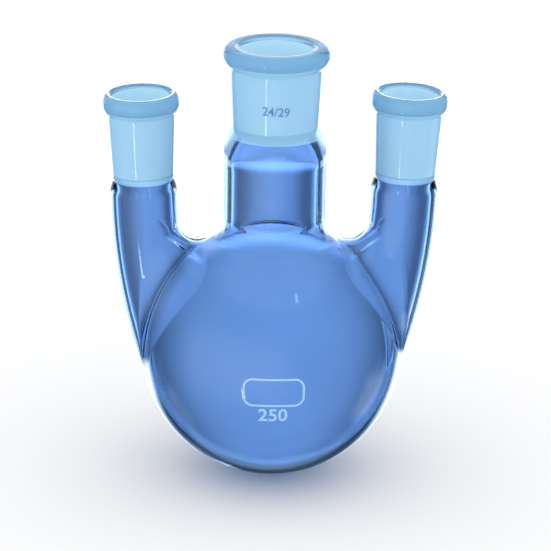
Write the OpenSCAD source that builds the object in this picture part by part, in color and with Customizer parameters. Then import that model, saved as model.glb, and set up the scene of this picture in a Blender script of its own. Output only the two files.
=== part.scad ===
// Three neck flask, round bottom, 250 ml.
// One piece of blown glass: a ball with a centre neck and two side necks,
// each neck closed by a ground socket with a rolled rim. Lengths in mm, z up,
// the lowest point of the ball on z = 0 and the centre neck on the z axis.

/* [Body] */
// Outside diameter of the round body
body_d = 85; // [76:0.5:110]
// Thickness of the body wall
body_wall = 2; // [1.2:0.1:3]

/* [Centre neck] */
// Height of the centre mouth above the bottom of the body
centre_height = 144; // [136:0.5:180]
// Outside diameter of the centre neck
centre_neck_d = 34; // [31:0.5:37]
// Thickness of the centre neck wall
centre_neck_wall = 3.1; // [1.5:0.1:4]
// Radius of the outside hollow between the centre neck and the body
centre_blend = 6.8; // [3:0.1:7]

/* [Centre socket] */
// Wide end of the ground bore
centre_joint_d = 24; // [22:0.1:26]
// Length of the ground bore
centre_joint_l = 29; // [25:0.5:32]
// Thickness of the glass round the wide end of the ground bore
centre_socket_wall = 3; // [2:0.1:3.6]
// Outside diameter of the rolled rim
centre_rim_d = 35; // [33:0.1:38]
// Height of the rolled rim
centre_rim_h = 7; // [6:0.1:9]

/* [Side necks] */
// Height of the side mouths above the bottom of the body
side_height = 128.6; // [122:0.2:150]
// Distance from the centre axis to a side neck, at its bend
side_reach = 42.1; // [40.5:0.1:46]
// Lean of a side neck away from the centre neck, in degrees
side_lean = 2; // [0:0.25:6]
// Height above the middle of the body where a side neck starts to bend
side_bend_z = 50; // [46:0.5:54]
// Outside diameter of a side neck
side_neck_d = 21.8; // [20.5:0.1:24]
// Thickness of the side neck wall
side_neck_wall = 1.8; // [1.2:0.1:2.6]
// Radius of the hollow between a side neck and the body, on the side of the centre neck
side_blend = 6.8; // [3:0.1:7]
// Radius of that hollow at the front and back of the side neck
side_blend_wide = 14; // [8:0.5:18]

/* [Side sockets] */
// Wide end of the ground bore
side_joint_d = 18.8; // [17:0.1:19.5]
// Length of the ground bore
side_joint_l = 26; // [22:0.5:27]
// Thickness of the glass round the wide end of the ground bore
side_socket_wall = 1.5; // [1.2:0.1:2]
// Outside diameter of the rolled rim
side_rim_d = 24.8; // [23.5:0.1:27]
// Height of the rolled rim
side_rim_h = 6.8; // [5.5:0.1:8]

/* [Hidden] */
$fa = 4;
$fs = 0.6;

// a standard taper: one in ten on the diameter
taper = 1 / 20;
ball_r = body_d / 2;
ball_ri = ball_r - body_wall;
centre_r = centre_neck_d / 2;
centre_ri = centre_r - centre_neck_wall;
side_r = side_neck_d / 2;
side_ri = side_r - side_neck_wall;
// heights measured from the middle of the ball
centre_top = centre_height - ball_r;
side_top = (side_height - ball_r - side_bend_z) / cos(side_lean);
// outside length of a socket's cone for each millimetre of its ground bore
centre_cone = 28.6 / 29;
side_cone = 28.7 / 26;
// radii of the rolled rims: outer edge on top, outer edge below, lip of the bore
centre_rim_top = 2.4;
centre_rim_low = 4.3;
centre_lip = 1.6;
side_rim_top = 2;
side_rim_low = 3;
side_lip = 1.4;
// a shoulder rises by this much, and this much more for each millimetre that it draws in
shoulder_least = 1.7;
shoulder_slope = 2.1;
// the glass stays clear of bare tangency by these small overlaps
graze_out = 0.4;
graze_in = 0.2;
sink = 0.05;
seam = 0.03;
lap = 0.4;
over = 1;
// the centre tube and its hollow start inside the ball, at these shares of its radius
tube_from = 0.7;
hollow_from = 0.94;
// sections of the hollow on each half of a side neck, how far round they reach, arc steps
blend_steps = 13;
blend_sweep = 145;
arc_steps = 5;
// the hollow's ends dive under the glass, more for each degree short of dive_from
dive_from = 60;
dive = 0.03;
// each section's hidden corner lies this share of the way out to where its tangents cross
tuck = 1.3;
// the rolling ball is sought from this far above the bend, by halving the angle
seek_from = -18;
seek_steps = 40;

glass = [0.62, 0.78, 0.95, 0.45];

// ---- a socket, seen in half section, x = radius, y = height above the neck's own zero ----

// radius of the arc that turns a tube wall in by `inward` over the height `rise`
function turn_r(inward, rise) = (rise * rise + inward * inward) / (2 * inward);

// arc that draws a tube of radius r in to r - inward, ending at height y0
module shoulder_half(r, inward, y0, rise) {
  rr = turn_r(inward, rise);
  intersection() {
    translate([r - rr, y0]) circle(r = rr);
    translate([0, y0]) square([r + over, rise]);
  }
}

function shoulder_rise(r, inner_r) = shoulder_least + shoulder_slope * (r - inner_r);

// outside of a socket: neck up to the shoulder, the cone, the rolled rim
module socket_outside(r, y0, top, foot_r, head_r, foot_y, rim_r, rim_h, top_round, low_round) {
  band_y = top - top_round;
  low_y = top - rim_h + low_round;
  rise = shoulder_rise(r, foot_r);
  translate([0, y0]) square([r, foot_y - rise - y0]);
  shoulder_half(r, r - foot_r, foot_y - rise, rise);
  polygon([[0, foot_y - lap], [foot_r, foot_y - lap], [foot_r, foot_y],
           [head_r, low_y], [head_r, band_y], [0, band_y]]);
  translate([0, low_y]) square([rim_r, band_y - low_y]);
  translate([0, band_y]) square([rim_r - top_round, top_round]);
  intersection() {
    translate([rim_r - top_round, band_y]) circle(r = top_round);
    translate([rim_r - top_round, band_y]) square([top_round, top_round]);
  }
  intersection() {
    translate([rim_r - low_round, low_y]) circle(r = low_round);
    translate([0, low_y - low_round]) square([rim_r, low_round]);
  }
}

// bore of a socket: the neck bore, its narrowing, the ground cone, the rounded lip
module socket_bore(ri, y0, top, joint_r, joint_l, lip) {
  end_y = top - lip - joint_l;
  end_r = joint_r - joint_l * taper;
  rise = shoulder_rise(ri, end_r);
  translate([0, y0]) square([ri, end_y - rise - y0]);
  shoulder_half(ri, ri - end_r, end_y - rise, rise);
  polygon([[0, end_y - lap], [end_r, end_y - lap], [end_r, end_y],
           [joint_r, top - lip], [joint_r, top + over], [0, top + over]]);
  difference() {
    translate([0, top - lip]) square([joint_r + lip, lip + over]);
    translate([joint_r + lip, top - lip]) circle(r = lip);
  }
}

// ---- the blown form: a ball, a straight centre tube and two bent side tubes ----

// hollow between the centre tube and the ball, in half section
module centre_blend_half(ball, tube, blend) {
  px = tube + blend;
  py = sqrt(pow(ball + blend, 2) - px * px);
  sx = px * ball / (ball + blend);
  sy = py * ball / (ball + blend);
  difference() {
    polygon([[tube - over, sy * hollow_from], [sx * hollow_from, sy * hollow_from], [sx, sy],
             [px, py], [tube - over, py]]);
    translate([px, py]) circle(r = blend + sink);
  }
}

// Bend of a side tube. Its centre line leaves the straight part at side_bend_z and follows an
// arc whose radius puts the far wall of the tube just inside the ball, as if drawn out of it.
function lean_x() = [cos(side_lean), -sin(side_lean)];
function lean_z() = [sin(side_lean), cos(side_lean)];
function start_pt() = [side_reach, side_bend_z];
function bend_r(ball, tube, graze) =
  let (q = ball - tube - graze, a = start_pt())
  (a * a - q * q) / (2 * (a * lean_x() - q));
function bend_c(ball, tube, graze) = start_pt() - bend_r(ball, tube, graze) * lean_x();
// angle of the arc, down to the point where the far wall runs into the ball
function bend_a(ball, tube, graze) =
  let (c = bend_c(ball, tube, graze))
  atan2(c[1], -c[0]) - side_lean;
// point and outward direction of the centre line at s degrees down the bend
function line_dir(s) = [cos(side_lean + s), -sin(side_lean + s)];
function line_pt(b, c, s) = s >= 0 ? c + b * line_dir(s)
  : start_pt() + (-s) * lean_z();
function out_dir(s) = s >= 0 ? line_dir(s) : lean_x();

module side_tube(ball, tube, graze) {
  b = bend_r(ball, tube, graze);
  c = bend_c(ball, tube, graze);
  turn = bend_a(ball, tube, graze);
  translate([c[0], 0, c[1]]) rotate([90, side_lean, 0]) rotate([0, 0, -turn])
    rotate_extrude(angle = turn + over) translate([b, 0]) circle(r = tube - seam);
}

// The hollow between a side tube and the ball is the path of a ball that rolls round the neck
// and touches both, and grows from side_blend to side_blend_wide on its way to the front or
// the back. Each section is an arc between the two touch points.
function blend_at(f) = side_blend + (side_blend_wide - side_blend) *
  (cos(f) < 0 ? pow(sin(f), 4) : 1);
function miss(b, c, ball, tube, blend, f, s) =
  let (m = line_pt(b, c, s), e = out_dir(s), k = tube + blend,
       x = m[0] + k * cos(f) * e[0], y = k * sin(f), z = m[1] + k * cos(f) * e[1])
  x * x + y * y + z * z - pow(ball + blend, 2);
function find_s(b, c, ball, tube, blend, f, lo, hi, n) =
  let (m = (lo + hi) / 2)
  n == 0 ? m
  : miss(b, c, ball, tube, blend, f, m) > 0
    ? find_s(b, c, ball, tube, blend, f, m, hi, n - 1)
    : find_s(b, c, ball, tube, blend, f, lo, m, n - 1);

function unit(v) = v / norm(v);
// the blend dives under the surfaces near its two ends, where tube and ball are almost one
function sink_at(f) = sink + dive * max(0, dive_from - min(f, 360 - f));
function section(b, c, ball, tube, f, far) =
  let (blend = blend_at(f),
       s = find_s(b, c, ball, tube, blend, f, seek_from, far, seek_steps),
       m = line_pt(b, c, s), e = out_dir(s), k = tube + blend,
       mid = [m[0], 0, m[1]],
       p = mid + k * [cos(f) * e[0], sin(f), cos(f) * e[1]],
       reach = blend + sink_at(f), t = unit(mid - p) * reach, w = unit(-p) * reach,
       a = acos(min(1, max(-1, unit(t) * unit(w)))))
  concat([for (i = [0:arc_steps])
           let (u = i / arc_steps)
           p + (t * sin((1 - u) * a) + w * sin(u * a)) / sin(a)],
         [p + tuck * (t + w) / (1 + cos(a))]);

module side_blend_skirt(ball, tube, graze) {
  b = bend_r(ball, tube, graze);
  c = bend_c(ball, tube, graze);
  far = bend_a(ball, tube, graze);
  n = arc_steps + 2;
  angles = [for (i = [-blend_steps:blend_steps]) 180 + i * blend_sweep / blend_steps];
  rings = [for (f = angles) section(b, c, ball, tube, f, far)];
  count = len(rings);
  pts = [for (r = rings) for (q = r) q];
  walls = [for (i = [0:count - 2]) for (j = [0:n - 1])
            let (a0 = i * n + j, a1 = i * n + (j + 1) % n)
            each [[a0 + n, a1, a0], [a0 + n, a1 + n, a1]]];
  cap_a = [for (j = [1:n - 2]) [0, j, j + 1]];
  cap_b = [for (j = [1:n - 2]) (count - 1) * n * [1, 1, 1] + [0, j + 1, j]];
  polyhedron(points = pts, faces = concat(walls, cap_a, cap_b));
}

module side_neck_outside() {
  translate([side_reach, 0, side_bend_z]) rotate([0, side_lean, 0])
    rotate_extrude() socket_outside(side_r, 0, side_top, side_foot_r, side_head_r, side_foot_y,
      side_rim_d / 2, side_rim_h, side_rim_top, side_rim_low);
  side_tube(ball_r, side_r, graze_out);
  side_blend_skirt(ball_r, side_r, graze_out);
}

module side_neck_inside() {
  translate([side_reach, 0, side_bend_z]) rotate([0, side_lean, 0])
    rotate_extrude() socket_bore(side_ri, 0, side_top, side_joint_d / 2, side_joint_l, side_lip);
  side_tube(ball_ri, side_ri, graze_in);
}

side_head_r = side_joint_d / 2 + side_socket_wall;
side_foot_y = side_top - side_cone * side_joint_l;
side_foot_r = side_head_r - (side_top - side_rim_h - side_foot_y) * taper;
centre_head_r = centre_joint_d / 2 + centre_socket_wall;
centre_foot_y = centre_top - centre_cone * centre_joint_l;
centre_foot_r = centre_head_r - (centre_top - centre_rim_h - centre_foot_y) * taper;

// one piece: the blown outside less the blown inside
module flask() {
  color(glass) translate([0, 0, ball_r]) difference() {
    union() {
      rotate([0, 0, 90]) rotate_extrude() {
        intersection() {
          circle(r = ball_r);
          translate([0, -ball_r]) square([ball_r, 2 * ball_r]);
        }
        centre_blend_half(ball_r, centre_r, centre_blend);
        socket_outside(centre_r, ball_r * tube_from, centre_top, centre_foot_r, centre_head_r,
          centre_foot_y, centre_rim_d / 2, centre_rim_h, centre_rim_top, centre_rim_low);
      }
      side_neck_outside();
      rotate([0, 0, 180]) side_neck_outside();
    }
    union() {
      rotate([0, 0, 90]) rotate_extrude() {
        intersection() {
          circle(r = ball_ri);
          translate([0, -ball_ri]) square([ball_ri, 2 * ball_ri]);
        }
        centre_blend_half(ball_ri, centre_ri, centre_blend + centre_neck_wall);
        socket_bore(centre_ri, ball_ri * tube_from, centre_top, centre_joint_d / 2,
          centre_joint_l, centre_lip);
      }
      side_neck_inside();
      rotate([0, 0, 180]) side_neck_inside();
    }
  }
}

flask();
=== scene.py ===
# A 250 ml round-bottom flask with three necks, blown and worked from blue-tinted glass.
from math import acos, asin, atan2, cos, pi, radians, sin, sqrt

import bmesh
import bpy
import numpy as np
from mathutils import Matrix, Vector
from mathutils.geometry import delaunay_2d_cdt


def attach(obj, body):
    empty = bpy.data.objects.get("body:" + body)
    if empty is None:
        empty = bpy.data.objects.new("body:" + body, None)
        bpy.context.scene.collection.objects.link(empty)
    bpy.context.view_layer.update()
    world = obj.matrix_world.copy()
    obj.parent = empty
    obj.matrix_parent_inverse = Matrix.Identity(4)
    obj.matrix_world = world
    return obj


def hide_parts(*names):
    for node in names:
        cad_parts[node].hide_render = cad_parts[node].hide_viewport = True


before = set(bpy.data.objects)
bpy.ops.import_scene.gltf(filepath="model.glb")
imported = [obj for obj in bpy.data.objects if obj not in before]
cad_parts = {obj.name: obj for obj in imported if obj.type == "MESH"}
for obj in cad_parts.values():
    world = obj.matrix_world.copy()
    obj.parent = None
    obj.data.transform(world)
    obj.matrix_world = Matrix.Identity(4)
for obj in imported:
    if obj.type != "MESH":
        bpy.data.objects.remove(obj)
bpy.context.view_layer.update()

# ---- Camera ---------------------------------------------------------------------------------
# A long lens a little over a metre from the flask. It looks down by twenty degrees, from slightly
# left of square on, and leans by one degree. Lengths are in millimetres up to the last step.
FRAME_PX = 551
SENSOR = 36.0
BALL_AT_PX = (271.2, 344.1)
BALL_RADIUS_PX = 129.45
BALL_R = 42.5
LENS_AWAY = 1168.0
LOOK_DOWN = radians(19.95)
LOOK_FROM_LEFT = radians(4.67)
LEAN = radians(1.05)
BALL_MIDDLE = Vector((0, 0, BALL_R))

focal_px = BALL_RADIUS_PX / BALL_R * sqrt(LENS_AWAY ** 2 - BALL_R ** 2)
back = Vector((-sin(LOOK_FROM_LEFT) * cos(LOOK_DOWN), -cos(LOOK_FROM_LEFT) * cos(LOOK_DOWN),
               sin(LOOK_DOWN)))
level = Vector((0, 0, 1)).cross(back).normalized()
upward = back.cross(level)
right = level * cos(LEAN) + upward * sin(LEAN)
top = upward * cos(LEAN) - level * sin(LEAN)
off_x = (FRAME_PX / 2 - BALL_AT_PX[0]) / focal_px
off_y = (BALL_AT_PX[1] - FRAME_PX / 2) / focal_px
away = (back - right * off_x - top * off_y).normalized()
right = top.cross(away).normalized()
top = away.cross(right)
camera_data = bpy.data.cameras.new("camera")
camera_data.sensor_width = SENSOR
camera_data.lens = SENSOR * focal_px / FRAME_PX
camera_data.clip_start = 0.01
camera = bpy.data.objects.new("camera", camera_data)
bpy.context.scene.collection.objects.link(camera)
camera.matrix_world = Matrix.Translation((BALL_MIDDLE + back * LENS_AWAY) / 1000) @ Matrix(
    (right, top, away)).transposed().to_4x4()
bpy.context.scene.camera = camera

# ---- Blown body -----------------------------------------------------------------------------
# One bubble of glass, two millimetres thick. The centre tube is sealed on top and the two side
# tubes are sealed on low down and bent up, so that each side tube flows out of the ball. Every
# seal is a rolled hollow: the path of a small ball that touches the body and the tube.
WALL = 2.0
CENTRE_R, CENTRE_RI = 17.0, 13.9
SIDE_R, SIDE_RI = 10.9, 9.1
# the hollows' radius: between the necks, and at the front and back of a side neck
HOLLOW, WIDE_HOLLOW = 6.8, 19.0
# a higher power keeps the hollow tight for longer on its way round to the front and back
WIDENING = 5
# on the inside skin: the hollow of the centre neck, and what the side necks' hollows gain
CENTRE_HOLLOW_IN, SIDE_THICKER = 9.4, 1.9
# where a side tube starts to bend, from the middle of the ball, and its lean away from the centre
REACH, BEND_Z, SIDE_LEAN = 42.1, 50.0, radians(2.0)
# how deep the outer line of a side tube runs into the ball's outline, on either skin
GRAZE, GRAZE_IN = 0.4, 0.2
AROUND_CENTRE, AROUND_SIDE = 144, 112
TUBE_ROWS, HOLLOW_ROWS = 26, 12
# spacing of the ball's net, the part of it that is kept free along an opening, and how near two
# points of the flat layout are when they count as one
BALL_GRID, FREE, FLAT_WELD = 1.55, 0.6, 1e-6
# steps of the search for the rolling ball's place, each of which halves the doubt
HALVINGS = 50


def lean_dir(down):
    """Outward direction of the side tube's bend, at an angle down from the straight part."""
    return np.array([np.cos(SIDE_LEAN + down), -np.sin(SIDE_LEAN + down)])


class Blown:
    """One skin of the bubble: the ball, the two tube sizes and the hollows between them."""

    def __init__(self, ball, centre, centre_hollow, side, thicker, graze):
        self.ball, self.centre, self.centre_hollow = ball, centre, centre_hollow
        self.side, self.thicker = side, thicker
        start = np.array([REACH, BEND_Z])
        q = ball - side - graze
        self.bend = (start @ start - q * q) / (2 * (start @ lean_dir(0.0) - q))
        self.bend_at = start - self.bend * lean_dir(0.0)
        self.bend_end = atan2(self.bend_at[1], -self.bend_at[0]) - SIDE_LEAN

    def side_point(self, down, round_angle, radius):
        """A point at a radius from the side tube's bent axis, at two angles: down it and round it."""
        e = lean_dir(down)
        flat = self.bend_at + self.bend * e + radius * np.cos(round_angle) * e
        return np.array([flat[0], radius * np.sin(round_angle), flat[1]])

    def hollow(self, round_angle):
        """Radius of the hollow: tight between the necks and wide on the front and the back."""
        swing = abs(sin(round_angle)) ** WIDENING if cos(round_angle) < 0 else 1.0
        return HOLLOW + (WIDE_HOLLOW - HOLLOW) * swing + self.thicker

    def roll(self, round_angle):
        """Where the rolling ball sits for one direction round the side tube."""
        hollow = self.hollow(round_angle)
        keep_off = self.side + hollow
        low, high = 0.0, self.bend_end
        for _ in range(HALVINGS):
            mid = (low + high) / 2
            inside = np.linalg.norm(self.side_point(mid, round_angle, keep_off)) < self.ball + hollow
            low, high = (low, mid) if inside else (mid, high)
        return mid, hollow, self.side_point(mid, round_angle, keep_off)


outer = Blown(BALL_R, CENTRE_R, HOLLOW, SIDE_R, 0.0, GRAZE)
inner = Blown(BALL_R - WALL, CENTRE_RI, CENTRE_HOLLOW_IN, SIDE_RI, SIDE_THICKER, GRAZE_IN)


def unit(v):
    """The direction of a vector."""
    return v / np.linalg.norm(v)


def side_strip(skin):
    """Rows of points from the bend's start down the side tube and over its hollow to the ball."""
    columns = []
    for j in range(AROUND_SIDE):
        a = 2 * pi * j / AROUND_SIDE
        down, hollow, mid = skin.roll(a)
        tube = [skin.side_point(down * k / TUBE_ROWS, a, skin.side) for k in range(TUBE_ROWS + 1)]
        to_tube, to_ball = unit(tube[-1] - mid), -unit(mid)
        full = acos(max(-1.0, min(1.0, to_tube @ to_ball)))
        for k in range(1, HOLLOW_ROWS + 1):
            t = k / HOLLOW_ROWS
            ray = (to_tube * sin((1 - t) * full) + to_ball * sin(t * full)) / sin(full)
            tube.append(mid + hollow * ray)
        columns.append(tube)
    return np.array(columns).transpose(1, 0, 2)


def centre_touch(skin):
    """Middle of the hollow's arc beside the centre tube, and the angle where it meets the ball."""
    x = skin.centre + skin.centre_hollow
    z = sqrt((skin.ball + skin.centre_hollow) ** 2 - x * x)
    return x, z, atan2(-z, -x) + 2 * pi


def inside_loop(points, loop):
    """Which of the flat points lie inside a closed line."""
    inside = np.zeros(len(points), bool)
    ahead = np.roll(loop, -1, axis=0)
    for (x1, y1), (x2, y2) in zip(loop, ahead):
        crosses = (y1 > points[:, 1]) != (y2 > points[:, 1])
        if y1 != y2:
            inside ^= crosses & (points[:, 0] < (x2 - x1) * (points[:, 1] - y1) / (y2 - y1) + x1)
    return inside


def ball_patch(skin, loops):
    """The ball between its three openings, as an even net that meets the openings' own points.
    The net is laid out flat, seen from the top of the ball, where even triangles stay even."""
    def flatten(p):
        return p[:, :2] * (2 * skin.ball / (skin.ball - p[:, 2]))[:, None]

    rows = int(pi * skin.ball / BALL_GRID)
    net = [np.array([[0.0, 0.0, -skin.ball]])]
    for i in range(1, rows):
        tilt = pi * i / rows
        count = max(6, int(2 * pi * skin.ball * sin(tilt) / BALL_GRID))
        a = 2 * pi * (np.arange(count) + 0.5 * (i % 2)) / count
        ring = np.stack([np.sin(tilt) * np.cos(a), np.sin(tilt) * np.sin(a),
                         -np.cos(tilt) * np.ones(count)], 1)
        net.append(ring * skin.ball)
    net = np.concatenate(net)
    edge = np.concatenate(loops)
    gap = np.array([np.min(np.linalg.norm(edge - p, axis=1)) for p in net])
    net = net[gap > FREE * BALL_GRID]
    flat_loops = [flatten(loop) for loop in loops]
    flat = flatten(net)
    keep = inside_loop(flat, flat_loops[0])
    for hole in flat_loops[1:]:
        keep &= ~inside_loop(flat, hole)
    net = net[keep]
    points = np.concatenate(loops + [net])
    flat = flatten(points)
    edges, first = [], 0
    for loop in loops:
        n = len(loop)
        edges += [(first + k, first + (k + 1) % n) for k in range(n)]
        first += n
    _, _, faces, ids, _, _ = delaunay_2d_cdt([Vector(p) for p in flat], edges, [], 0, FLAT_WELD, True)
    faces = np.array([[ids[k][0] for k in f] for f in faces])
    middle = flat[faces].mean(1)
    good = inside_loop(middle, flat_loops[0])
    for hole in flat_loops[1:]:
        good &= ~inside_loop(middle, hole)
    return points, faces[good]


# ---- Ground sockets -------------------------------------------------------------------------
# Each neck ends in a socket turned on a mandrel: a shoulder, a cone whose bore is ground to the
# standard taper of one in ten, and a thick rim rolled over and fire polished.
TAPER = 1 / 20
FLASK_TALL, SIDE_TALL = 144.0, 128.6
CENTRE_TOP = FLASK_TALL - BALL_R
SIDE_TOP = (SIDE_TALL - BALL_R - BEND_Z) / cos(SIDE_LEAN)
# a shoulder's height for each millimetre that it draws in, and what is added to it
SHOULDER_STEEP, SHOULDER_MORE = 2.1, 1.7
NECK_ROUND = 1.6
# through the wall, the frosting is seen to end this far above the ground bore's own end
FROST_ABOVE = 1.7
# rows of the rim's underside that have the rim's finish
UNDER_RIM = 4
# points nearer to each other than this, in metres, are one
WELD = 1e-6


def arc(x, y, r, start, end, steps):
    """Points along a part of a circle."""
    a = np.linspace(start, end, steps + 1)
    return [(x + r * cos(t), y + r * sin(t)) for t in a]


def line(a, b, steps):
    """Points along a straight run."""
    return [tuple(p) for p in np.linspace(a, b, steps + 1)]


def shoulder(r, to_r, end_y):
    """Arc that draws a tube in from r to to_r, where it ends at the height end_y."""
    inward = r - to_r
    rise = SHOULDER_STEEP * inward + SHOULDER_MORE
    rr = (rise * rise + inward * inward) / (2 * inward)
    return arc(r - rr, end_y - rise, rr, 0.0, asin(rise / rr), 10)


def rounded(before, corner, after, radius, steps=6):
    """The corner between two straight runs, turned into an arc that touches both."""
    before, corner, after = (np.array(p, float) for p in (before, corner, after))
    u, v = unit(before - corner), unit(after - corner)
    half = acos(max(-1.0, min(1.0, u @ v))) / 2
    reach = radius / np.tan(half)
    middle = corner + unit(u + v) * radius / sin(half)
    a, b = corner + u * reach - middle, corner + v * reach - middle
    full = acos(max(-1.0, min(1.0, unit(a) @ unit(b))))
    ts = np.linspace(0, 1, steps + 1)
    return [tuple(middle + (a * sin((1 - t) * full) + b * sin(t * full)) / sin(full)) for t in ts]


def socket_profile(r, ri, top_y, joint_d, joint_l, wall, length, rim_d, rim_h, top_round,
                   low_round, lip):
    """Half section of a socket: up the outside, over the rim, down the ground bore. Gives the points,
    and the rows where the shoulder, the cone, the rim and the ground bore start and where it ends."""
    head_r, rim_r, joint_r = joint_d / 2 + wall, rim_d / 2, joint_d / 2
    foot_y = top_y - length
    foot_r = head_r - (top_y - rim_h - foot_y) * TAPER
    low_y, band_y = top_y - rim_h + low_round, top_y - top_round
    out = shoulder(r, foot_r, foot_y)
    foot_row = len(out) - 1
    # the rim's underside leaves the cone where its arc crosses it
    cross = acos((head_r - (rim_r - low_round)) / low_round)
    low = arc(rim_r - low_round, low_y, low_round, -cross, 0.0, 9)
    neck = rounded((foot_r, foot_y), low[0], low[1], NECK_ROUND)
    out += line((foot_r, foot_y), neck[0], 10)[1:]
    end_y, end_r = top_y - lip - joint_l, joint_r - joint_l * TAPER
    frost_row = sum(1 for _, y in out if y < end_y + FROST_ABOVE) - 1
    out += neck[1:] + low[2:]
    rim_row = len(out) - 1 - UNDER_RIM
    out += line((rim_r, low_y), (rim_r, band_y), 2)[1:]
    out += arc(rim_r - top_round, band_y, top_round, 0.0, pi / 2, 8)[1:]
    out += line((rim_r - top_round, top_y), (joint_r + lip, top_y), 2)[1:]
    out += arc(joint_r + lip, top_y - lip, lip, pi / 2, pi, 7)[1:]
    ground_row = len(out) - 1
    out += line((joint_r, top_y - lip), (end_r, end_y), 16)[1:]
    end_row = len(out) - 1
    out += shoulder(ri, end_r, end_y)[::-1][1:]
    return out, (min(frost_row, foot_row), max(frost_row, foot_row), rim_row, ground_row, end_row)


def maths_in(tree):
    """A short way to add sums to one node tree: it types numbers in, and links sockets."""
    def maths(operation, *values):
        made = tree.nodes.new("ShaderNodeMath")
        made.operation = operation
        for socket, value in zip(made.inputs, values):
            if isinstance(value, (int, float)):
                socket.default_value = value
            else:
                tree.links.new(value, socket)
        return made.outputs[0]
    return maths


def turned_tree():
    """Turns a half section round its own axis, and sets a copy at each place it is used."""
    tree = bpy.data.node_groups.new("turned on a mandrel", "GeometryNodeTree")
    face = tree.interface
    face.new_socket("Section", in_out="INPUT", socket_type="NodeSocketGeometry")
    for name, kind in (("Steps round", "Int"), ("Copies", "Int"), ("Lean", "Float"),
                       ("Reach", "Float"), ("Height", "Float"), ("Shoulder from", "Float"),
                       ("Socket from", "Float"), ("Rim from", "Float"), ("Ground from", "Float"),
                       ("Ground to", "Float"), ("Glass", "Material"),
                       ("Shoulder glass", "Material"), ("Socket glass", "Material"),
                       ("Rim glass", "Material"), ("Ground glass", "Material")):
        face.new_socket(name, in_out="INPUT", socket_type="NodeSocket" + kind)
    face.new_socket("Mesh", in_out="OUTPUT", socket_type="NodeSocketGeometry")
    nodes, links = tree.nodes, tree.links
    maths = maths_in(tree)

    def node(kind, **settings):
        made = nodes.new(kind)
        for key, value in settings.items():
            setattr(made, key, value)
        return made

    given = node("NodeGroupInput")
    size = node("GeometryNodeAttributeDomainSize", component="MESH")
    links.new(given.outputs["Section"], size.inputs[0])
    columns = maths("ADD", given.outputs["Steps round"], 1)
    grid = node("GeometryNodeMeshGrid")
    links.new(columns, grid.inputs["Vertices X"])
    links.new(size.outputs["Point Count"], grid.inputs["Vertices Y"])
    uv = node("ShaderNodeSeparateXYZ")
    links.new(grid.outputs["UV Map"], uv.inputs[0])
    last_row = maths("SUBTRACT", size.outputs["Point Count"], 1)
    row = maths("ROUND", maths("MULTIPLY", uv.outputs["Y"], last_row))
    at = node("GeometryNodeSampleIndex", data_type="FLOAT_VECTOR", domain="POINT")
    links.new(given.outputs["Section"], at.inputs["Geometry"])
    place = node("GeometryNodeInputPosition")
    links.new(place.outputs[0], at.inputs["Value"])
    links.new(row, at.inputs["Index"])
    section = node("ShaderNodeSeparateXYZ")
    links.new(at.outputs[0], section.inputs[0])
    angle = maths("MULTIPLY", uv.outputs["X"], 2 * pi)
    spun = node("ShaderNodeCombineXYZ")
    links.new(maths("MULTIPLY", section.outputs["X"], maths("COSINE", angle)), spun.inputs["X"])
    links.new(maths("MULTIPLY", section.outputs["X"], maths("SINE", angle)), spun.inputs["Y"])
    links.new(section.outputs["Z"], spun.inputs["Z"])
    turn = node("GeometryNodeSetPosition")
    links.new(grid.outputs["Mesh"], turn.inputs["Geometry"])
    links.new(spun.outputs[0], turn.inputs["Position"])
    close = node("GeometryNodeMergeByDistance")
    close.inputs["Distance"].default_value = WELD
    keep = node("GeometryNodeStoreNamedAttribute", data_type="FLOAT", domain="POINT")
    keep.inputs["Name"].default_value = "row"
    links.new(turn.outputs[0], keep.inputs["Geometry"])
    links.new(row, keep.inputs["Value"])
    links.new(keep.outputs[0], close.inputs["Geometry"])
    tilt = node("ShaderNodeCombineXYZ")
    links.new(given.outputs["Lean"], tilt.inputs["Y"])
    shift = node("ShaderNodeCombineXYZ")
    links.new(given.outputs["Reach"], shift.inputs["X"])
    links.new(given.outputs["Height"], shift.inputs["Z"])
    stand = node("GeometryNodeTransform")
    links.new(close.outputs[0], stand.inputs["Geometry"])
    links.new(tilt.outputs[0], stand.inputs["Rotation"])
    links.new(shift.outputs[0], stand.inputs["Translation"])
    spots = node("GeometryNodeMeshLine", mode="OFFSET")
    links.new(given.outputs["Copies"], spots.inputs["Count"])
    spots.inputs["Offset"].default_value = (0, 0, 0)
    number = node("GeometryNodeInputIndex")
    facing = node("ShaderNodeCombineXYZ")
    links.new(maths("MULTIPLY", number.outputs[0], pi), facing.inputs["Z"])
    turned = node("FunctionNodeEulerToRotation")
    links.new(facing.outputs[0], turned.inputs[0])
    copies = node("GeometryNodeInstanceOnPoints")
    links.new(spots.outputs[0], copies.inputs["Points"])
    links.new(stand.outputs[0], copies.inputs["Instance"])
    links.new(turned.outputs[0], copies.inputs["Rotation"])
    real = node("GeometryNodeRealizeInstances")
    links.new(copies.outputs[0], real.inputs[0])
    polished = node("GeometryNodeSetMaterial")
    links.new(real.outputs[0], polished.inputs["Geometry"])
    links.new(given.outputs["Glass"], polished.inputs["Material"])
    which = node("GeometryNodeInputNamedAttribute", data_type="FLOAT")
    which.inputs["Name"].default_value = "row"
    made = polished
    for start, end, material in (("Shoulder from", "Socket from", "Shoulder glass"),
                                 ("Socket from", "Rim from", "Socket glass"),
                                 ("Rim from", "Ground from", "Rim glass"),
                                 ("Ground from", "Ground to", "Ground glass")):
        past = maths("GREATER_THAN", which.outputs["Attribute"], given.outputs[start])
        before = maths("LESS_THAN", which.outputs["Attribute"], given.outputs[end])
        finish = node("GeometryNodeSetMaterial")
        links.new(made.outputs[0], finish.inputs["Geometry"])
        links.new(maths("MULTIPLY", past, before), finish.inputs["Selection"])
        links.new(given.outputs[material], finish.inputs["Material"])
        made = finish
    links.new(made.outputs[0], node("NodeGroupOutput").inputs[0])
    return tree


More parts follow.
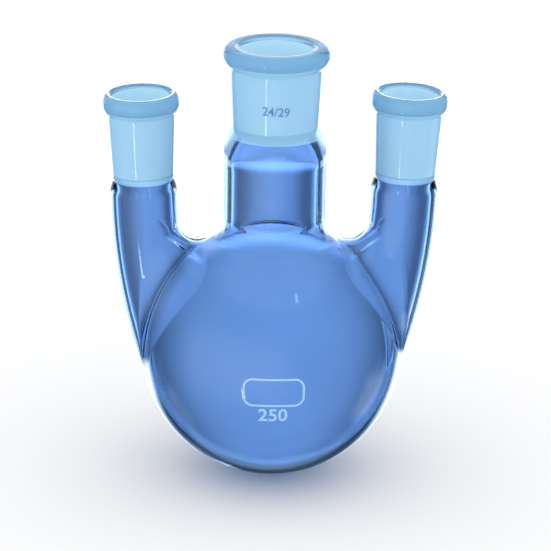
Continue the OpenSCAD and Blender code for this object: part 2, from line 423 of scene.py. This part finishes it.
def turned(name, profile, steps_round, copies, lean, reach, height, rows):
    """Runs the turning tree on one half section, given in millimetres, and returns a plain mesh."""
    section = bpy.data.meshes.new(name)
    section.from_pydata([(x / 1000, 0, z / 1000) for x, z in profile],
                        [(k, k + 1) for k in range(len(profile) - 1)], [])
    blank = bpy.data.objects.new(name, section)
    bpy.context.scene.collection.objects.link(blank)
    lathe = blank.modifiers.new("lathe", "NODES")
    lathe.node_group = turning
    values = {"Steps round": steps_round, "Copies": copies, "Lean": lean, "Reach": reach / 1000,
              "Height": height / 1000, "Shoulder from": rows[0], "Socket from": rows[1],
              "Rim from": rows[2], "Ground from": rows[3], "Ground to": rows[4], "Glass": clear,
              "Shoulder glass": half_clear, "Socket glass": pale, "Rim glass": rim,
              "Ground glass": ground}
    for item in turning.interface.items_tree:
        if item.in_out == "INPUT" and item.name in values:
            lathe[item.identifier] = values[item.name]
    seen = blank.evaluated_get(bpy.context.evaluated_depsgraph_get())
    mesh = bpy.data.meshes.new_from_object(seen)
    for face in mesh.polygons:
        face.material_index = finishes.index(mesh.materials[face.material_index])
    blank.modifiers.remove(lathe)
    bpy.data.objects.remove(blank)
    return mesh


# ---- Glass finishes -------------------------------------------------------------------------
# Borosilicate glass, tinted blue. The blown faces are fire polished, with the faint waves of
# worked glass. The sockets' bores are ground with fine grit, and seen through the wall they make
# the outside of each socket pale and milky.
GLASS_BENDS = 1.47
WAVES_A_METRE = 45.0
# the waves are drawn out lengthwise
WAVE_DRAWN = (1.0, 1.0, 0.35)


def worked_glass():
    """Faint waves and a slight drift of tint, as in glass that was blown and worked by hand."""
    tree = bpy.data.node_groups.new("worked glass", "ShaderNodeTree")
    for name, kind in (("Tint", "Color"), ("Drift", "Float"), ("Waves per metre", "Float")):
        tree.interface.new_socket(name, in_out="INPUT", socket_type="NodeSocket" + kind)
    tree.interface.new_socket("Color", in_out="OUTPUT", socket_type="NodeSocketColor")
    tree.interface.new_socket("Height", in_out="OUTPUT", socket_type="NodeSocketFloat")
    nodes, links = tree.nodes, tree.links
    maths = maths_in(tree)
    given, result = nodes.new("NodeGroupInput"), nodes.new("NodeGroupOutput")
    spot = nodes.new("ShaderNodeTexCoord")
    drawn = nodes.new("ShaderNodeMapping")
    drawn.inputs["Scale"].default_value = WAVE_DRAWN
    links.new(spot.outputs["Object"], drawn.inputs["Vector"])
    waves = nodes.new("ShaderNodeTexNoise")
    waves.inputs["Detail"].default_value = 1.0
    links.new(drawn.outputs[0], waves.inputs["Vector"])
    links.new(given.outputs["Waves per metre"], waves.inputs["Scale"])
    swing = maths("SUBTRACT", waves.outputs["Fac"], 0.5)
    drifted = nodes.new("ShaderNodeHueSaturation")
    links.new(maths("MULTIPLY_ADD", swing, given.outputs["Drift"], 1.0), drifted.inputs["Value"])
    links.new(given.outputs["Tint"], drifted.inputs["Color"])
    links.new(drifted.outputs[0], result.inputs["Color"])
    links.new(waves.outputs["Fac"], result.inputs["Height"])
    return tree


def glass(name, tint, roughness, through, drift, wave_height):
    """One finish of the glass; through is the share of light that it lets pass."""
    made = bpy.data.materials.new(name)
    made.use_nodes = True
    nodes, links = made.node_tree.nodes, made.node_tree.links
    shader = nodes["Principled BSDF"]
    shader.inputs["Transmission Weight"].default_value = through
    shader.inputs["IOR"].default_value = GLASS_BENDS
    shader.inputs["Roughness"].default_value = roughness
    look = nodes.new("ShaderNodeGroup")
    look.node_tree = worked
    look.inputs["Tint"].default_value = (*tint, 1)
    look.inputs["Drift"].default_value = drift
    look.inputs["Waves per metre"].default_value = WAVES_A_METRE
    links.new(look.outputs["Color"], shader.inputs["Base Color"])
    bump = nodes.new("ShaderNodeBump")
    bump.inputs["Distance"].default_value = wave_height
    links.new(look.outputs["Height"], bump.inputs["Height"])
    links.new(bump.outputs["Normal"], shader.inputs["Normal"])
    return made


worked = worked_glass()
clear = glass("blue glass", tint=(0.38, 0.57, 0.89), roughness=0.0, through=1.0, drift=0.05,
              wave_height=0.00012)
pale = glass("pale blue glass", tint=(0.42, 0.74, 1.0), roughness=0.0, through=0.2, drift=0.03,
             wave_height=0.0001)
rim = glass("rim blue glass", tint=(0.44, 0.75, 1.0), roughness=0.0, through=0.78, drift=0.05,
            wave_height=0.0001)
ground = glass("ground blue glass", tint=(0.64, 0.89, 1.0), roughness=0.7, through=0.0, drift=0.03,
               wave_height=0.00005)
half_clear = glass("shoulder blue glass", tint=(0.42, 0.74, 1.0), roughness=0.0, through=0.5,
                   drift=0.03, wave_height=0.0001)
finishes = [clear, pale, rim, ground, half_clear]
# finishes that meet in a crisp edge, by their places in the list: at the lower end of the ground
# bore, at the foot of the outside cone and under the rim
CRISP = ([0, 1], [0, 3], [1, 2], [1, 4])

turning = turned_tree()

# ---- The flask, joined up -------------------------------------------------------------------
# The three necks are sealed on while the glass is soft, so it all becomes one piece with one
# closed skin: up the outside, over the rims and down the inside. The centre socket takes a 24/29
# cone and the side sockets take 19/26 ones. All lengths are in millimetres.
centre_joint = dict(top_y=CENTRE_TOP, joint_d=24.0, joint_l=29.0, wall=3.0, length=26.2, rim_d=35.0,
                    rim_h=7.0, top_round=2.4, low_round=4.3, lip=1.6)
side_joint = dict(top_y=SIDE_TOP, joint_d=18.8, joint_l=26.0, wall=1.5, length=28.7, rim_d=24.8,
                  rim_h=6.8, top_round=2.0, low_round=3.0, lip=1.4)

profile, finish_rows = socket_profile(CENTRE_R, CENTRE_RI, **centre_joint)
below = []
for skin in (outer, inner):
    x, z, turn = centre_touch(skin)
    tube_top = profile[0 if skin is outer else -1][1]
    hollow = arc(x, z, skin.centre_hollow, turn, pi, 16)
    below.append(hollow + line((skin.centre, z), (skin.centre, tube_top), 8)[1:-1])
shift = len(below[0])
profile = below[0] + profile + below[1][::-1]
centre_mesh = turned("centre neck", profile, AROUND_CENTRE, 1, 0.0, 0.0, BALL_R,
                     [shift + row for row in finish_rows])

profile, finish_rows = socket_profile(SIDE_R, SIDE_RI, **side_joint)
out_run = line((SIDE_R, 0.0), profile[0], 8)[:-1]
in_run = line(profile[-1], (SIDE_RI, 0.0), 8)[1:]
shift = len(out_run)
side_mesh = turned("side necks", out_run + profile + in_run, AROUND_SIDE, 2, SIDE_LEAN, REACH,
                   BALL_R + BEND_Z, [shift + row for row in finish_rows])

lift = np.array([0, 0, BALL_R])
shell = bmesh.new()
for mesh in (centre_mesh, side_mesh):
    shell.from_mesh(mesh)
    bpy.data.meshes.remove(mesh)
for skin in (outer, inner):
    strip = side_strip(skin)
    loops = []
    x, z, _ = centre_touch(skin)
    k = skin.ball / (skin.ball + skin.centre_hollow)
    a = 2 * pi * np.arange(AROUND_CENTRE) / AROUND_CENTRE
    loops.append(np.stack([k * x * np.cos(a), k * x * np.sin(a), np.full(AROUND_CENTRE, k * z)], 1))
    for turn in (1, -1):
        rows = strip * np.array([turn, turn, 1])
        loops.append(rows[-1])
        verts = [[shell.verts.new(Vector(p + lift) / 1000) for p in row] for row in rows]
        for lower, upper in zip(verts, verts[1:]):
            for j in range(AROUND_SIDE):
                n = (j + 1) % AROUND_SIDE
                shell.faces.new((lower[j], lower[n], upper[n], upper[j]))
    points, faces = ball_patch(skin, loops)
    verts = [shell.verts.new(Vector(p + lift) / 1000) for p in points]
    for f in faces:
        shell.faces.new([verts[k] for k in f])
bmesh.ops.remove_doubles(shell, verts=shell.verts, dist=2 * WELD)
bmesh.ops.recalc_face_normals(shell, faces=shell.faces)
flask_mesh = bpy.data.meshes.new("glass")
shell.to_mesh(flask_mesh)
shell.free()
for finish in finishes:
    flask_mesh.materials.append(finish)
flask_mesh.shade_smooth()
edge_glass = {}
for face in flask_mesh.polygons:
    for key in face.edge_keys:
        edge_glass.setdefault(key, []).append(face.material_index)
for edge in flask_mesh.edges:
    edge.use_edge_sharp = sorted(edge_glass[edge.key]) in CRISP
# the ball's faces are shaded as the true ball, so that none of them shows in the glass: each
# corner that lies on the ball and already looks about that way points straight away from its middle
NEAR_BALL, ABOUT_THAT_WAY = 0.003, 0.95
where = np.empty(3 * len(flask_mesh.vertices))
flask_mesh.vertices.foreach_get("co", where)
where = where.reshape(-1, 3) * 1000 - lift
corners = np.empty(3 * len(flask_mesh.loops))
flask_mesh.corner_normals.foreach_get("vector", corners)
corners = corners.reshape(-1, 3)
owner = np.empty(len(flask_mesh.loops), int)
flask_mesh.loops.foreach_get("vertex_index", owner)
from_middle = np.linalg.norm(where, axis=1)
for skin, outward in ((outer, 1), (inner, -1)):
    touching = np.abs(from_middle - skin.ball) < NEAR_BALL
    picked = touching[owner] & (np.abs(where[owner, 2]) < skin.ball)
    radial = outward * where[owner[picked]] / from_middle[owner[picked], None]
    aligned = np.sum(radial * corners[picked], axis=1) > ABOUT_THAT_WAY
    changed = np.flatnonzero(picked)[aligned]
    corners[changed] = radial[aligned]
flask_mesh.normals_split_custom_set([tuple(n) for n in corners])
flask = bpy.data.objects.new("glass", flask_mesh)
bpy.context.scene.collection.objects.link(flask)
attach(flask, "root")
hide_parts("flask")

# ---- Printed marks --------------------------------------------------------------------------
# The capacity and the joint size are screen printed and fired on: a film of enamel a few hundredths
# of a millimetre proud of the glass. An empty frame above the capacity is for writing in.
FILM, SUNK = 0.04, 0.06
FRAME_WIDE, FRAME_TALL, FRAME_ROUND, FRAME_LINE = 20.0, 9.6, 3.2, 0.7
FRAME_BEARING, FRAME_RISE = -3.2, -1.6
CAPACITY_BEARING, CAPACITY_RISE, CAPACITY_SIZE = -3.4, -12.6, 6.3
JOINT_BEARING, JOINT_HEIGHT, JOINT_SIZE, JOINT_TILT = -3.8, 125.7, 4.1, radians(-2.5)
CAPACITY_BOLDER, JOINT_BOLDER = 0.12, 0.05
# a film is cut this fine, in this many rounds, so that it follows the round glass
FINEST, CUT_ROUNDS = 1.0, 4
FILM_WELD = 1e-4
ENAMEL_ROUGH, ENAMEL_DRIFT, ENAMEL_GRAINS = 0.45, 0.15, 900.0


def enamel(name, colour):
    """Printed enamel, fired on: a little uneven, with fine grains."""
    made = bpy.data.materials.new(name)
    made.use_nodes = True
    nodes, links = made.node_tree.nodes, made.node_tree.links
    shader = nodes["Principled BSDF"]
    shader.inputs["Roughness"].default_value = ENAMEL_ROUGH
    look = nodes.new("ShaderNodeGroup")
    look.node_tree = worked
    look.inputs["Tint"].default_value = (*colour, 1)
    look.inputs["Drift"].default_value = ENAMEL_DRIFT
    look.inputs["Waves per metre"].default_value = ENAMEL_GRAINS
    links.new(look.outputs["Color"], shader.inputs["Base Color"])
    return made


def on_ball(bearing, rise):
    """Lays a flat mark, drawn in millimetres, on the outside of the ball."""
    def place(x, y, z):
        r = BALL_R + z
        up = radians(rise) + y / BALL_R
        round_to = radians(bearing) + x / (BALL_R * cos(radians(rise)))
        return r * cos(up) * sin(round_to), -r * cos(up) * cos(round_to), BALL_R + r * sin(up)
    return place


def on_centre_cone(bearing, height, tilt):
    """Lays a flat mark, drawn in millimetres, on the outside of the centre socket's cone."""
    head_r = centre_joint["joint_d"] / 2 + centre_joint["wall"]
    head_z = FLASK_TALL - centre_joint["rim_h"]

    def place(x, y, z):
        across = x * cos(tilt) - y * sin(tilt)
        up = height + x * sin(tilt) + y * cos(tilt)
        r = head_r - (head_z - up) * TAPER + z
        round_to = radians(bearing) + across / head_r
        return r * sin(round_to), -r * cos(round_to), up
    return place


def fired_on(name, film, place, finish):
    """Wraps a flat closed film round the glass and hands it over as a piece."""
    bmesh.ops.remove_doubles(film, verts=film.verts, dist=FILM_WELD)
    bmesh.ops.triangulate(film, faces=film.faces)
    for _ in range(CUT_ROUNDS):
        long = [edge for edge in film.edges if edge.calc_length() > FINEST]
        bmesh.ops.subdivide_edges(film, edges=long, cuts=1)
        bmesh.ops.triangulate(film, faces=film.faces)
    for vert in film.verts:
        vert.co = Vector(place(*vert.co)) / 1000
    bmesh.ops.recalc_face_normals(film, faces=film.faces)
    mesh = bpy.data.meshes.new(name)
    film.to_mesh(mesh)
    film.free()
    mesh.materials.append(finish)
    mark = bpy.data.objects.new(name, mesh)
    bpy.context.scene.collection.objects.link(mark)
    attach(mark, "root")


def number(text, size, bolder):
    """Figures as a flat film, centred, in millimetres."""
    curve = bpy.data.curves.new(text, "FONT")
    curve.body = text
    curve.size = size
    curve.offset = bolder
    curve.align_x = "CENTER"
    curve.align_y = "CENTER"
    curve.resolution_u = 5
    curve.extrude = (FILM + SUNK) / 2
    blank = bpy.data.objects.new(text, curve)
    bpy.context.scene.collection.objects.link(blank)
    seen = blank.evaluated_get(bpy.context.evaluated_depsgraph_get())
    flat = bpy.data.meshes.new_from_object(seen)
    bpy.data.objects.remove(blank)
    film = bmesh.new()
    film.from_mesh(flat)
    bpy.data.meshes.remove(flat)
    bmesh.ops.translate(film, verts=film.verts, vec=(0, 0, (FILM - SUNK) / 2))
    return film


def frame_film():
    """A closed line round a rectangle with round corners."""
    film = bmesh.new()
    rings = []
    for inset, z in ((0, -SUNK), (0, FILM), (FRAME_LINE, FILM), (FRAME_LINE, -SUNK)):
        wide, tall, r = FRAME_WIDE / 2 - inset, FRAME_TALL / 2 - inset, FRAME_ROUND - inset
        ring = []
        for quarter, (sx, sy) in enumerate(((1, 1), (-1, 1), (-1, -1), (1, -1))):
            start = quarter * pi / 2
            ring += arc(sx * (wide - r), sy * (tall - r), r, start, start + pi / 2, 8)
        rings.append([film.verts.new((x, y, z)) for x, y in ring])
    for one, other in zip(rings, rings[1:] + rings[:1]):
        for k in range(len(one)):
            n = (k + 1) % len(one)
            film.faces.new((one[k], one[n], other[n], other[k]))
    return film


white_enamel = enamel("white enamel", (0.36, 0.62, 0.95))
blue_enamel = enamel("blue enamel", (0.1, 0.26, 0.55))
fired_on("writing_frame", frame_film(), on_ball(FRAME_BEARING, FRAME_RISE), white_enamel)
fired_on("capacity_number", number("250", CAPACITY_SIZE, CAPACITY_BOLDER),
         on_ball(CAPACITY_BEARING, CAPACITY_RISE), white_enamel)
fired_on("joint_number", number("24/29", JOINT_SIZE, JOINT_BOLDER),
         on_centre_cone(JOINT_BEARING, JOINT_HEIGHT, JOINT_TILT), blue_enamel)

# ---- Table, backdrop and light --------------------------------------------------------------
# A white table top in a white room. Glass is lit by what it reflects and bends, so soft white
# cards stand round it, with black ones between them, and draw its bright and dark edge lines.
TABLE_HALF = 8
TABLE_SHADE, TABLE_ROUGH = 0.92, 0.8
# the even light on matt surfaces, the darkest that glass sees anywhere, and the tint of its shadows
ROOM = 1.08
DARKEST = 0.05
SHADOW_TINT = (0.3, 0.65, 1.0, 1)


def light_card():
    """Mask of one soft-edged card seen from the table, by its bearing and height in degrees.
    Bearing 0 is the front of the flask, 90 its right side and 180 its back."""
    tree = bpy.data.node_groups.new("soft card", "ShaderNodeTree")
    for name in ("Bearing", "Height", "Middle bearing", "Half width", "Middle height",
                 "Half height", "Softness"):
        tree.interface.new_socket(name, in_out="INPUT", socket_type="NodeSocketFloat")
    tree.interface.new_socket("Mask", in_out="OUTPUT", socket_type="NodeSocketFloat")
    given = tree.nodes.new("NodeGroupInput")
    maths = maths_in(tree)

    def inside(offset, half):
        edge = tree.nodes.new("ShaderNodeMapRange")
        edge.interpolation_type = "SMOOTHSTEP"
        tree.links.new(maths("ABSOLUTE", offset), edge.inputs["Value"])
        reach = maths("MULTIPLY", given.outputs["Softness"], 0.5)
        tree.links.new(maths("SUBTRACT", half, reach), edge.inputs["From Min"])
        tree.links.new(maths("ADD", half, reach), edge.inputs["From Max"])
        edge.inputs["To Min"].default_value = 1.0
        edge.inputs["To Max"].default_value = 0.0
        return edge.outputs[0]

    turned_by = maths("SUBTRACT", given.outputs["Bearing"], given.outputs["Middle bearing"])
    across = inside(maths("WRAP", turned_by, 180.0, -180.0), given.outputs["Half width"])
    raised_by = maths("SUBTRACT", given.outputs["Height"], given.outputs["Middle height"])
    mask = maths("MULTIPLY", across, inside(raised_by, given.outputs["Half height"]))
    tree.links.new(mask, tree.nodes.new("NodeGroupOutput").inputs[0])
    return tree


floor_mesh = bpy.data.meshes.new("table")
quarters = ((-1, -1), (1, -1), (1, 1), (-1, 1))
floor_mesh.from_pydata([(x * TABLE_HALF, y * TABLE_HALF, 0) for x, y in quarters], [], [(0, 1, 2, 3)])
floor = bpy.data.objects.new("table", floor_mesh)
bpy.context.scene.collection.objects.link(floor)
floor.visible_glossy = False
floor.visible_transmission = False
white = bpy.data.materials.new("white table")
white.use_nodes = True
shader = white.node_tree.nodes["Principled BSDF"]
shader.inputs["Base Color"].default_value = (TABLE_SHADE, TABLE_SHADE, TABLE_SHADE, 1)
shader.inputs["Roughness"].default_value = TABLE_ROUGH
shader.inputs["Specular IOR Level"].default_value = 0.0
floor_mesh.materials.append(white)

world = bpy.data.worlds.new("studio")
bpy.context.scene.world = world
world.use_nodes = True
nodes, links = world.node_tree.nodes, world.node_tree.links
sky = maths_in(world.node_tree)
gaze = nodes.new("ShaderNodeSeparateXYZ")
links.new(nodes.new("ShaderNodeTexCoord").outputs["Generated"], gaze.inputs[0])
to_front = sky("MULTIPLY", gaze.outputs["Y"], -1.0)
bearing = sky("DEGREES", sky("ARCTAN2", gaze.outputs["X"], to_front))
height = sky("DEGREES", sky("ARCSINE", gaze.outputs["Z"]))
card = light_card()


def lit_by(start, cards):
    """Adds soft cards to a plain sky. A card is its bearing, half width, height and half height
    and the softness of its edge, in degrees, and its strength, which is below zero for a black one."""
    total = start
    for at, half, middle, tall, soft, strength in cards:
        placed = nodes.new("ShaderNodeGroup")
        placed.node_tree = card
        links.new(bearing, placed.inputs["Bearing"])
        links.new(height, placed.inputs["Height"])
        for name, value in (("Middle bearing", at), ("Half width", half), ("Middle height", middle),
                            ("Half height", tall), ("Softness", soft)):
            placed.inputs[name].default_value = value
        total = sky("MULTIPLY_ADD", placed.outputs[0], strength, total)
    return sky("MAXIMUM", total, DARKEST)


# seen straight through the glass
through = lit_by(1.0, [
    (0, 400, 45, 45, 10, 0.3),          # a ceiling a little brighter than the walls
    (0, 400, -64, 30, 12, -0.75),       # a dark ring low down, all round
    (178, 24, -9, 4, 6, 1.2),           # a low white strip behind
    (164.3, 6, -20, 14, 9, -0.6),       # two dark cards on either side of the line of sight
    (186.3, 6, -20, 14, 9, -0.6),
    (141, 9, -20, 12, 8, 3.2),          # two bright cards further out, for the edges of the necks
    (209, 9, -20, 12, 8, 3.2),
])
# seen by reflection, in a dark room
mirrored = lit_by(0.12, [
    (180, 30, -9, 19, 12, 2.0),         # a large white card behind, and a weaker one above it
    (180, 32, 26, 18, 12, 0.8),
    (180, 48, -3, 9, 7, 0.9),           # a wide strip behind, level with the glass
    (175.3, 4, -20, 10, 5, -1.8),       # a gap in them, in the line of sight
    (-40, 50, -6, 26, 40, 0.7),         # a window's soft light from the front left
    (105, 14, -32, 12, 12, 0.8),        # low fills on the right and on the left
    (-115, 8, -40, 10, 10, 0.5),
    (0, 400, 70, 20, 16, 0.4),          # overhead
    (180, 50, -62, 14, 10, 0.3),        # light back from the table
    (-29, 1.4, -26, 4.5, 1.5, 12.0),    # a narrow lamp that draws a line on each socket
])
path = nodes.new("ShaderNodeLightPath")
reflected = sky("GREATER_THAN", path.outputs["Glossy Depth"], 0.5)
matt = sky("GREATER_THAN", path.outputs["Diffuse Depth"], 0.5)


def choose(factor, first, second):
    """The second value where factor is 1, and the first one elsewhere."""
    mix = nodes.new("ShaderNodeMix")
    for name, value in (("Factor", factor), ("A", first), ("B", second)):
        if isinstance(value, float):
            mix.inputs[name].default_value = value
        else:
            links.new(value, mix.inputs[name])
    return mix.outputs["Result"]


sharp = choose(reflected, through, mirrored)
around = choose(matt, sharp, ROOM)
links.new(choose(path.outputs["Is Camera Ray"], around, 1.0), nodes["Background"].inputs["Strength"])
reflected = sky("MULTIPLY", reflected, sky("SUBTRACT", 1.0, matt))
shade = nodes.new("ShaderNodeMix")
shade.data_type = "RGBA"
links.new(sky("MULTIPLY", reflected, sky("SUBTRACT", 1.0, mirrored)), shade.inputs["Factor"])
shade.inputs["A"].default_value = (1, 1, 1, 1)
shade.inputs["B"].default_value = SHADOW_TINT
links.new(shade.outputs["Result"], nodes["Background"].inputs["Color"])
bpy.context.scene.view_settings.view_transform = "Standard"
# light goes through many walls of glass before it is done
bpy.context.scene.cycles.max_bounces = 48
bpy.context.scene.cycles.transmission_bounces = 32
bpy.context.scene.cycles.glossy_bounces = 32
bpy.context.scene.cycles.diffuse_bounces = 8
